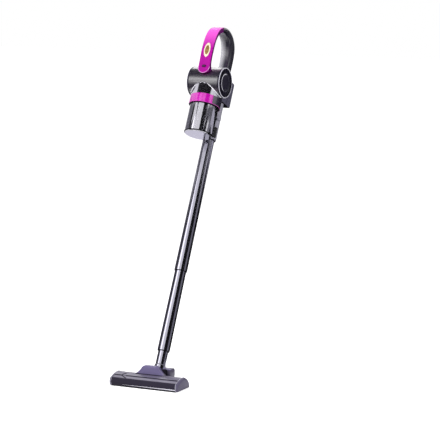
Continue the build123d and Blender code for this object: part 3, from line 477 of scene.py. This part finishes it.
def swept(name, path, thick, start=None, aside=None):
    """A round bead along a line of points, which may swell from a thinner start.

    It swells along the line or, where aside is given, with its distance aside up to that one.
    """
    rings = []
    begin = thick if start is None else start
    final = len(path) - 1
    for place, point in enumerate(path):
        share = min(1, abs(point.x) / aside) if aside else place / final
        reach = begin + (thick - begin) * share
        ahead = path[min(place + 1, final)] - path[max(place - 1, 0)]
        first = ahead.orthogonal().normalized()
        second = ahead.normalized().cross(first)
        rings.append([
            point + (first * cos(turn) + second * sin(turn)) * reach / 1000 for turn in round_turns(ROD_SIDES)
        ])
    return lofted(name, rings)


# Dark seam between barrel and vent, the vent's bright rim and the ring round its disc
CASE_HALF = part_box("motor_case")[1][0] * 1000
VENT_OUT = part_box("vent_cap_right")[1][0] * 1000
DISC_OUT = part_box("vent_disc_right")[1][0] * 1000
SEAM_R, SEAM_THICK = 45.6, 0.6
VENT_RIM_R, VENT_RIM_THICK = 44.4, 1.2
DISC_RING_R, DISC_RING_THICK = 26.2, 2.0
for side, hand in SIDES:
    seam = bead(SEAM_R, side * (CASE_HALF - 0.9), SEAM_THICK)
    dress(turned("seam_ring_" + hand, MOTOR, RIGHT, seam), "main_body", "soft_black")
    vent_rim = bead(VENT_RIM_R, side * (VENT_OUT - 0.6), VENT_RIM_THICK)
    dress(turned("vent_rim_" + hand, MOTOR, RIGHT, vent_rim), "main_body", "rim_bright")
    # The disc's ring has a painted highlight at its front
    disc_ring = bead(DISC_RING_R, side * (DISC_OUT - 0.4), DISC_RING_THICK)
    dress(turned("disc_ring_" + hand, MOTOR, RIGHT, disc_ring), "main_body", "ring_glint")

# Bead along the crease where the collar leaves the barrel, round the front, with a painted highlight on its arms
COLLAR_LONG = 52
COLLAR_TOP_WIDE, COLLAR_FOOT_WIDE = 48, 47
COLLAR_TOP_DEEP, COLLAR_FOOT_DEEP = 42, 47
CREASE_FROM, CREASE_SWEEP, CREASE_STEPS = 178, 184, 80
CREASE_GUESS, CREASE_ROUNDS = 30.0, 12
crease = []
for step in range(CREASE_STEPS + 1):
    turn = radians(CREASE_FROM + CREASE_SWEEP * step / CREASE_STEPS)
    down = CREASE_GUESS
    for again in range(CREASE_ROUNDS):
        share = down / COLLAR_LONG
        wide = COLLAR_TOP_WIDE + (COLLAR_FOOT_WIDE - COLLAR_TOP_WIDE) * share
        deep = COLLAR_TOP_DEEP + (COLLAR_FOOT_DEEP - COLLAR_TOP_DEEP) * share
        down = sqrt(max(0, (CASE_R * 1000) ** 2 - (deep * sin(turn)) ** 2))
    crease.append(spot(wide * cos(turn), deep * sin(turn), -down))
collar_bead = swept("collar_bead", crease, thick=2.0, start=0.1, aside=0.036)
dress(collar_bead, "main_body", "crease_glint")

# Painted highlight: a pale edge round the strap's foot, laid on its front
STRAP_HALF = 19
STRAP_EDGE_R = STRAP_HALF - 0.7
STRAP_EDGE_FROM, STRAP_EDGE_SWEEP, STRAP_EDGE_STEPS = 176, 188, 48
FAR_AHEAD = -200
strap_mesh = frame["nodes"]["strap"].data
strap_skin = BVHTree.FromPolygons(
    [corner.co for corner in strap_mesh.vertices], [tuple(face.vertices) for face in strap_mesh.polygons]
)
foot_up = min((corner.co - MOTOR).dot(UP) for corner in strap_mesh.vertices) * 1000 + STRAP_HALF
foot_edge = []
for step in range(STRAP_EDGE_STEPS + 1):
    turn = radians(STRAP_EDGE_FROM + STRAP_EDGE_SWEEP * step / STRAP_EDGE_STEPS)
    before = spot(STRAP_EDGE_R * cos(turn), FAR_AHEAD, foot_up + STRAP_EDGE_R * sin(turn))
    foot_edge.append(strap_skin.ray_cast(before, BACK)[0])
dress(swept("strap_foot_highlight", foot_edge, thick=0.9), "main_body", "strap_edge_highlight")

# Lip of the magenta band and the dark seal line under it
BAND_FOOT = -79
BAND_LIP_R, BAND_SEAL_R = 47.3, 45.4
band_lip = bead(BAND_LIP_R, BAND_FOOT + 0.9, thick=0.8)
band_seal = bead(BAND_SEAL_R, BAND_FOOT - 0.5, thick=1.3)
dress(turned("band_lip", MOTOR, UP, band_lip), "main_body", "lip_pink")
dress(turned("band_seal", MOTOR, UP, band_seal), "main_body", "soft_black")

# Frosted floor of the cup, with a dark seal line inside and a dark line round the cup's foot
CUP_FOOT = -170
CUP_INSIDE = 41.0
FLOOR_R = CUP_INSIDE - 3.4
FLOOR_LOW, FLOOR_HIGH = CUP_FOOT + 2.2, CUP_FOOT + 3.2
CUP_LINE_R = 41.9
cup_floor = [
    (0.5, FLOOR_LOW), (FLOOR_R, FLOOR_LOW), (FLOOR_R + 1, CUP_FOOT + 2.8),
    (FLOOR_R, FLOOR_HIGH), (0.5, FLOOR_HIGH),
]
floor_seal = bead(CUP_INSIDE - 0.9, CUP_FOOT + 5.0, thick=0.8)
foot_line = bead(CUP_LINE_R, CUP_FOOT + 3.8, thick=1.9)
dress(turned("cup_floor", MOTOR, UP, cup_floor), "cup", "frosted")
dress(turned("cup_floor_seal", MOTOR, UP, floor_seal), "cup", "soft_black")
dress(turned("cup_foot_line", MOTOR, UP, foot_line), "cup", "soft_black")

# Rear block: joint round the battery pack, finger ribs on its sides and charge lights on its back
REAR_HALF, REAR_TOP, REAR_FOOT, REAR_SPLIT, REAR_BACK = 26, 40, -38.5, 84.5, 112
REAR_ROUND = 1
CORNER_STEPS = 4
joint_corners = (
    (REAR_HALF - REAR_ROUND, REAR_TOP - REAR_ROUND), (REAR_ROUND - REAR_HALF, REAR_TOP - REAR_ROUND),
    (REAR_ROUND - REAR_HALF, REAR_FOOT + REAR_ROUND), (REAR_HALF - REAR_ROUND, REAR_FOOT + REAR_ROUND),
)
joint_loop = []
for corner, (across, level) in enumerate(joint_corners):
    for step in range(CORNER_STEPS + 1):
        turn = radians(90 * (corner + step / CORNER_STEPS))
        joint_loop.append(spot(across + REAR_ROUND * cos(turn), REAR_SPLIT, level + REAR_ROUND * sin(turn)))
battery_joint = swept("battery_joint", joint_loop + joint_loop[:1], thick=0.5)
dress(battery_joint, "main_body", "soft_black")

RIB_COUNT, RIB_FIRST, RIB_APART = 5, 92.5, 3.4
RIB_LOW, RIB_LONG, RIB_THICK, RIB_STEPS = -18, 30, 0.9, 12
for side, hand in SIDES:
    for count in range(RIB_COUNT):
        rib = []
        for step in range(RIB_STEPS + 1):
            share = step / RIB_STEPS
            across = REAR_HALF - RIB_THICK + RIB_THICK * sin(pi * share)
            rib.append(spot(side * across, RIB_FIRST + RIB_APART * count, RIB_LOW + RIB_LONG * share))
        rib_name = "finger_rib_%s_%d" % (hand, count + 1)
        dress(swept(rib_name, rib, RIB_THICK), "battery", "rear_shell")

LIGHT_OUTLINE = [(0.2, 0.6), (1.2, 0.5), (2.0, 0.1), (2.1, -0.6), (0.2, -0.6)]
LIGHT_COUNT, LIGHT_APART, LIGHT_UP = 3, 10, 18
for count in range(LIGHT_COUNT):
    middle = spot(LIGHT_APART * (count - 1), REAR_BACK, LIGHT_UP)
    light = turned("charge_light_%d" % (count + 1), middle, BACK, LIGHT_OUTLINE, steps=32)
    dress(light, "battery", "frosted")


# Floor head: rounded deck, domed end caps, soft hood, hinge bay and yokes, in millimetres as (back, up)

HEAD_END = 105
CAP_OUT = 112.4
CAP_FOOT = 1.4
BACK_STEPS = 24


def arc(centre, reach, start, end, steps):
    """Points on an ellipse between two angles, measured from the back towards up."""
    points = []
    for step in range(steps + 1):
        turn = radians(start + (end - start) * step / steps)
        points.append((centre[0] + reach[0] * cos(turn), centre[1] + reach[1] * sin(turn)))
    return points


def drawn_in(outline, inset):
    """A convex outline, which goes from the back over the foot to the front, moved inwards by an inset."""
    moved = []
    size = len(outline)
    for place in range(size):
        before, here, after = (Vector(outline[(place + shift) % size]) for shift in (-1, 0, 1))
        first = (here - before).normalized()
        second = (after - here).normalized()
        outward = Vector((-first.y, first.x)) + Vector((-second.y, second.x))
        moved.append(tuple(here - outward.normalized() * inset / max(0.5, outward.length / 2)))
    return moved


def ring_at(right, outline):
    return [Vector((right, back, up)) / 1000 for back, up in outline]


def creased(thing, angle=35):
    """Sharp creases where two faces meet at more than an angle, over smooth shading."""
    with_edges = bmesh.new()
    with_edges.from_mesh(thing.data)
    bmesh.ops.recalc_face_normals(with_edges, faces=with_edges.faces)
    for edge in with_edges.edges:
        if len(edge.link_faces) == 2 and edge.calc_face_angle(0) > radians(angle):
            edge.smooth = False
    with_edges.to_mesh(thing.data)
    with_edges.free()
    return thing


# Deck with a front slope, a small step and a rounded back
SLOPE_FOOT, STEP_FOOT, STEP_HEAD, TOP_FRONT = (-41, 25.3), (-29.4, 29.3), (-28.2, 31.4), (-16, 34.4)
BACK_FALL = arc((-8, 4), (39.5, 31.5), 90, 0, BACK_STEPS)
DECK_OUTLINE = [
    (31, 3.2), (-41, 3.2), SLOPE_FOOT, STEP_FOOT, (-28.7, 30.3), STEP_HEAD,
    (-24, 32.6), TOP_FRONT, *BACK_FALL,
]
deck_rings = [ring_at(right, DECK_OUTLINE) for right in (-HEAD_END, -60, -20, 20, 60, HEAD_END)]
deck_shell = dress(creased(lofted("deck_shell", deck_rings)), "floor_head", "head_violet")
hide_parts("head_shell")

# End caps, domed by (right, inset), with a pale rim from the foot in front to half way down the back
CAP_FRONT = [
    (31, CAP_FOOT), (-45.4, CAP_FOOT), (-47.4, 6), (-48.4, 10), (-48.5, 13), (-47.9, 17), (-46.6, 21.4),
    (-45.6, 23.2), (-43.4, 24.6), (-28, 31.2), TOP_FRONT,
]
CAP_OUTLINE = CAP_FRONT + BACK_FALL
CAP_RIM = CAP_FRONT[1:] + BACK_FALL[:BACK_STEPS // 2 + 1]
CAP_FOOT_SHARE = 0.2
DOME = [(HEAD_END, 0), (106.6, 0.15), (108.6, 0.7), (110.2, 1.7), (111.4, 3.2), (112.1, 5.0), (CAP_OUT, 7.0)]


def cap_outline(inset):
    """An end cap's outline, drawn in less at its foot than elsewhere."""
    outline = drawn_in(CAP_OUTLINE, inset)
    for corner in (0, 1):
        outline[corner] = (outline[corner][0], CAP_FOOT + CAP_FOOT_SHARE * inset)
    return outline


for side, hand in SIDES:
    cap_rings = [ring_at(side * right, cap_outline(inset)) for right, inset in DOME]
    cap = dress(creased(lofted("cap_dome_" + hand, cap_rings), 50), "floor_head", "cap_violet")
    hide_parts("end_cap_" + hand)
    rim = swept("cap_rim_" + hand, ring_at(side * HEAD_END, CAP_RIM), thick=1.1)
    dress(rim, "floor_head", "rim_pale")

# Hood with a flared foot, as (across, up) from the left foot to the crown, rounded by (back, inset)
HOOD_FOOT_UP = 28
HOOD_LEAN = 0.10
HOOD_NARROW = 52
HOOD_LEFT = [
    (-47, HOOD_FOOT_UP), (-46.2, 35.2), (-44.6, 36.2), (-42, 37.6), (-38.4, 40.6), (-34, 44.8), (-29.2, 50),
    (-25.8, 55), (-23.4, 57.6), (-20, 59.1), (-13, 59.6), (0, 59.7),
]
HOOD_RIGHT = [(-across, up) for across, up in HOOD_LEFT[-2::-1]]
HOOD_LINE = HOOD_LEFT + HOOD_RIGHT + [(43, 20), (-43, 20)]
HOOD_DEPTHS = (
    (-10.8, 4.6), (-10.4, 2.9), (-9.4, 1.5), (-7.8, 0.5), (-5.0, 0),
    (4, 0), (9, 0.9), (12.4, 2.8), (14.2, 6.0),
)
hood_rings = []
for back, inset in HOOD_DEPTHS:
    ring = []
    for across, up in HOOD_LINE:
        narrowed = across * (1 - inset / HOOD_NARROW)
        leaned = back + HOOD_LEAN * max(0, up - HOOD_FOOT_UP)
        lowered = up - inset if up > HOOD_FOOT_UP else up
        ring.append(Vector((narrowed, leaned, lowered)) / 1000)
    hood_rings.append(ring)
dress(creased(lofted("hood", hood_rings), 60), "floor_head", "head_violet")

# Dark hinge bay behind the hood, rounded at its ends by (across, inset)
BAY_LINE = [(8, 18), (8, 44), (12, 47.4), (26, 47.4), (29.5, 46), (31.5, 43), (31.5, 18)]
BAY_WIDTHS = ((-39, 3), (-38.2, 1), (-36.5, 0), (36.5, 0), (38.2, 1), (39, 3))
bay_rings = [ring_at(across, drawn_in(BAY_LINE, inset)) for across, inset in BAY_WIDTHS]
dress(creased(lofted("hinge_bay", bay_rings), 50), "floor_head", "hinge_dark")

# Yokes beside the elbow, rounded in the same way
YOKE_ROUND = arc((50, 29), (12.9, 12.9), 0, -90, 12)
YOKE_LINE = [(30, 46.5), (53, 46.5), (58, 45.7), (61.2, 43), (62.7, 38), *YOKE_ROUND, (30, 16)]
YOKE_WIDTHS = ((20.4, 1.0), (21.2, 0.2), (22.4, 0), (44.6, 0), (46.4, 0.5), (47.4, 1.8))
for side, hand in SIDES:
    yoke_rings = [ring_at(side * across, drawn_in(YOKE_LINE, inset)) for across, inset in YOKE_WIDTHS]
    dress(creased(lofted("yoke_" + hand, yoke_rings), 50), "floor_head", "head_violet")

# Pale lower lip along the front strip
LIP_BACK, LIP_UP = -47.4, 7.2
LIP_FROM, LIP_TO, LIP_STEP = -88, 104, 8
lip = [Vector((right, LIP_BACK, LIP_UP)) / 1000 for right in range(LIP_FROM, LIP_TO + 1, LIP_STEP)]
dress(swept("front_lip", lip, thick=1.8, start=0.3), "floor_head", "rim_bright")

# Dark lines on the deck, as (right, back): the joint along the step, its chevron, and a painted shadow line under
# the hood's foot
JOINT_BACK = -28.7
HOOD_FOOT_BACK = -11.8
JOINT_THICK, CHEVRON_THICK = 1.0, 1.25
LINE_STEPS = 16
DECK_LINES = {
    "joint_left": ((-104, JOINT_BACK), (-80, JOINT_BACK), JOINT_THICK),
    "joint_right": ((-66, JOINT_BACK), (104, JOINT_BACK), JOINT_THICK),
    "chevron_upper": ((-79, -28.2), (-69.5, -16), CHEVRON_THICK),
    "chevron_lower": ((-79, -29.2), (-60, -40.5), CHEVRON_THICK),
    "hood_foot_shadow": ((-43, HOOD_FOOT_BACK), (43, HOOD_FOOT_BACK), JOINT_THICK),
}


def deck(right, back):
    """A place on the floor head's front slope, on its step or on the slope of its top."""
    for start, end in ((SLOPE_FOOT, STEP_FOOT), (STEP_FOOT, STEP_HEAD), (STEP_HEAD, TOP_FRONT)):
        if back < end[0]:
            break
    share = (back - start[0]) / (end[0] - start[0])
    return Vector((right, back, start[1] + (end[1] - start[1]) * share)) / 1000


for line_name, (start, end, thick) in DECK_LINES.items():
    path = []
    for step in range(LINE_STEPS + 1):
        share = step / LINE_STEPS
        path.append(deck(start[0] + (end[0] - start[0]) * share, start[1] + (end[1] - start[1]) * share))
    dress(swept(line_name, path, thick), "floor_head", "soft_black")

# Dark seal rings at the wand's joints, by the joint's height along the stick
MOTOR_HIGH = 885
WAND_BACK = 72.5
SEAL_THICK = 1.2
for seal_name, high, radius, body in (
    ("seal_lower", 312, 17.0, "lower_wand"),
    ("seal_upper", 66, 15.9, "neck"),
    ("seal_socket", 728, 19.2, "upper_wand"),
):
    seal = bead(radius, high - MOTOR_HIGH - SEAL_THICK, SEAL_THICK)
    dress(turned(seal_name, spot(0, WAND_BACK, 0), UP, seal, steps=72), body, "soft_black")


# Stage: floor, white surround, soft lamps and cards that shape the reflections

FLOOR_HALF = 14.0
FLOOR_LIT = 0.80
FLOOR_MIRRORED = 0.06
SKY_FILL = 0.42
STICK_BACK = 0.28
STICK_HALF_UP = 0.5


def surround_material(name, lit, mirrored):
    """White where the camera, a reflection or a clear piece looks at it, and a plain surface elsewhere."""
    tree, shader = new_material(name)
    set_values(shader, Base_Color=(0.86, 0.86, 0.87, 1), Roughness=0.9, Specular_IOR_Level=0.0,
               Emission_Color=(1, 1, 1, 1))
    rays = tree.nodes.new("ShaderNodeLightPath").outputs
    seen = math_step(tree, "MAXIMUM", rays["Is Camera Ray"], rays["Is Transmission Ray"])
    seen_level = math_step(tree, "MULTIPLY", seen, lit)
    mirror_level = math_step(tree, "MULTIPLY", rays["Is Glossy Ray"], mirrored)
    level = math_step(tree, "MAXIMUM", seen_level, mirror_level)
    tree.links.new(level, shader.inputs["Emission Strength"])
    return materials[name]


floor = mesh_object(
    "floor",
    [(-FLOOR_HALF, -FLOOR_HALF, 0), (FLOOR_HALF, -FLOOR_HALF, 0),
     (FLOOR_HALF, FLOOR_HALF, 0), (-FLOOR_HALF, FLOOR_HALF, 0)],
    [(0, 1, 2, 3)],
)
floor.data.materials.append(surround_material("floor_white", FLOOR_LIT, FLOOR_MIRRORED))

# The sky is white where it is seen and dimmer where it only lights
world = bpy.data.worlds.new("surround")
bpy.context.scene.world = world
world.use_nodes = True
sky = world.node_tree
sky.nodes.clear()
sky_out = sky.nodes.new("ShaderNodeOutputWorld")
sky_shader = sky.nodes.new("ShaderNodeBackground")
sky_shader.inputs["Color"].default_value = (1, 1, 1, 1)
sky_rays = sky.nodes.new("ShaderNodeLightPath").outputs
sky_seen = sky_rays["Is Camera Ray"]
for ray in ("Is Glossy Ray", "Is Transmission Ray"):
    sky_seen = math_step(sky, "MAXIMUM", sky_seen, sky_rays[ray])
sky_level = graded(sky, sky_seen, 0.0, 1.0, SKY_FILL, 1.0)
sky.links.new(sky_level, sky_shader.inputs["Strength"])
sky.links.new(sky_shader.outputs["Background"], sky_out.inputs["Surface"])


def ray_to(turn, lift):
    """A direction by its turn from the front towards the right and its lift, in degrees."""
    turn, lift = radians(turn), radians(lift)
    return Vector((sin(turn) * cos(lift), -cos(turn) * cos(lift), sin(lift)))


def lamp(name, size, power, turn, lift, away):
    """A soft rectangular lamp aimed at the middle of the stick, turned from the front towards the right."""
    data = bpy.data.lights.new(name, "AREA")
    data.shape = "RECTANGLE"
    data.size, data.size_y = size
    data.energy = power
    thing = bpy.data.objects.new(name, data)
    bpy.context.scene.collection.objects.link(thing)
    ray = ray_to(turn, lift)
    thing.location = Vector((0, STICK_BACK, STICK_HALF_UP)) + ray * away
    thing.rotation_euler = ray.to_track_quat("Z", "Y").to_euler()
    return thing


lamp("key", (1.6, 1.6), 54, -28, 48, 2.6).visible_glossy = False
lamp("fill", (1.4, 1.8), 16, 70, 25, 2.6).visible_glossy = False
lamp("rim", (1.4, 1.2), 10, -148, 42, 2.95)
lamp("strip", (1.1, 0.85), 4.0, -30, 32, 2.7)


# Cards that only reflections see, by turns from the front towards the right, in metres

CARD_AWAY = 2.0
CARD_STEP = 4
SLANT_AWAY = 1.9
FLOOR_CARD_UP = 0.004


def only_reflected(name, pairs, glow):
    """A strip between pairs of points that reflections see and nothing else."""
    points = [corner for pair in pairs for corner in pair]
    faces = [(last - 2, last, last + 1, last - 1) for last in range(2, len(points), 2)]
    thing = mesh_object(name, points, faces)
    tree, shader = new_material(name)
    set_values(shader, Base_Color=(0, 0, 0, 1), Specular_IOR_Level=0.0,
               Emission_Color=(0.9, 0.88, 1.0, 1), Emission_Strength=glow)
    thing.data.materials.append(materials[name])
    thing.visible_camera = False
    thing.visible_diffuse = False
    thing.visible_transmission = False
    thing.visible_shadow = False


def round_stick(turn, away, up):
    """A place round the stick at a turn, a distance and a height."""
    return away * sin(radians(turn)), STICK_BACK - away * cos(radians(turn)), up


def card_turns(start, end):
    """Turns from a start to an end, about a card's step apart."""
    steps = max(2, round((end - start) / CARD_STEP))
    return [start + (end - start) * step / steps for step in range(steps + 1)]


def card(name, start, end, foot, head, glow):
    """An upright curved card between two turns and two heights."""
    pairs = [[round_stick(turn, CARD_AWAY, up) for up in (foot, head)] for turn in card_turns(start, end)]
    only_reflected(name, pairs, glow)


def slanting_card(name, rows, low, high, glow):
    """A slanting card that the cup's or the tubes' sides mirror, through rows of turn and lift."""
    pairs = []
    for turn, lift in rows:
        rise = SLANT_AWAY * tan(radians(lift))
        pairs.append([round_stick(turn, SLANT_AWAY, up + rise) for up in (low, high)])
    only_reflected(name, pairs, glow)


def flat_card(name, start, end, near, far, up, glow):
    """A level card between two turns and two distances."""
    pairs = [[round_stick(turn, away, up) for away in (near, far)] for turn in card_turns(start, end)]
    only_reflected(name, pairs, glow)


card("card_right", 30, 66, 0.02, 3.0, 0.012)
card("card_mid_right", 66, 88, 0.02, 1.74, 0.012)
card("card_stripe", 88, 116, 0.02, 1.17, 0.26)
card("card_far_right", 116, 200, 0.02, 1.05, 0.01)
card("card_left", -120, -95, 0.02, 1.0, 0.10)
card("card_mid_left", -95, -72, 0.02, 1.47, 0.08)
card("card_high", -85, -28, 2.45, 4.6, 0.03)

CUP_RIGHT_ROWS = ((66, 28.5), (76, 24), (85, 20), (94, 15.5), (103, 11), (114, 6))
CUP_FAR_ROWS = ((114, 6), (122, 2.5), (130, -1), (140, -5.5), (152, -11), (165, -17))
TUBE_LEFT_ROWS = ((-72, 25.6), (-62, 30.5), (-55, 33.6), (-48, 36.6))
CUP_LINE_ROWS = ((-62, 30.5), (-70, 26.5), (-78, 22.8))
CUP_LEFT_ROWS = ((-78, 22.8), (-90, 16.5), (-100, 12), (-112, 6.5), (-125, 0))
slanting_card("card_cup_right", CUP_RIGHT_ROWS, 0.765, 0.91, 0.17)
slanting_card("card_cup_far", CUP_FAR_ROWS, 0.73, 0.86, 0.64)
slanting_card("card_tube_left", TUBE_LEFT_ROWS, -0.6, 0.72, 0.08)
slanting_card("card_cup_line", CUP_LINE_ROWS, 0.69, 0.96, 0.03)
slanting_card("card_cup_left", CUP_LEFT_ROWS, 0.69, 0.96, 0.22)

flat_card("card_floor_left", -178, -118, 0.6, 3.8, FLOOR_CARD_UP, 0.95)
flat_card("card_floor_right", 100, 195, 0.15, CARD_AWAY, FLOOR_CARD_UP, 0.01)
flat_card("card_ceiling", 0, 360, 0.0, 2.4, 3.3, 0.02)
flat_card("card_floor_front", -62, 2, 0.9, 7.0, FLOOR_CARD_UP, 0.03)


# Camera at the photograph's place

CAMERA_TURN = 26.3096
CAMERA_LIFT = 8.2375
CAMERA_AWAY = 6.012
CAMERA_AIM = Vector((0.0834, 0.2838, 0.4537))
camera_data = bpy.data.cameras.new("camera")
camera_data.lens = 165.72
camera_data.sensor_width = 36
camera_data.sensor_fit = "HORIZONTAL"
camera = bpy.data.objects.new("camera", camera_data)
bpy.context.scene.collection.objects.link(camera)
camera.location = CAMERA_AIM + CAMERA_AWAY * ray_to(CAMERA_TURN, CAMERA_LIFT)
camera.rotation_euler = (radians(90 - CAMERA_LIFT), 0, radians(CAMERA_TURN))
bpy.context.scene.camera = camera
bpy.context.scene.view_settings.view_transform = "Standard"
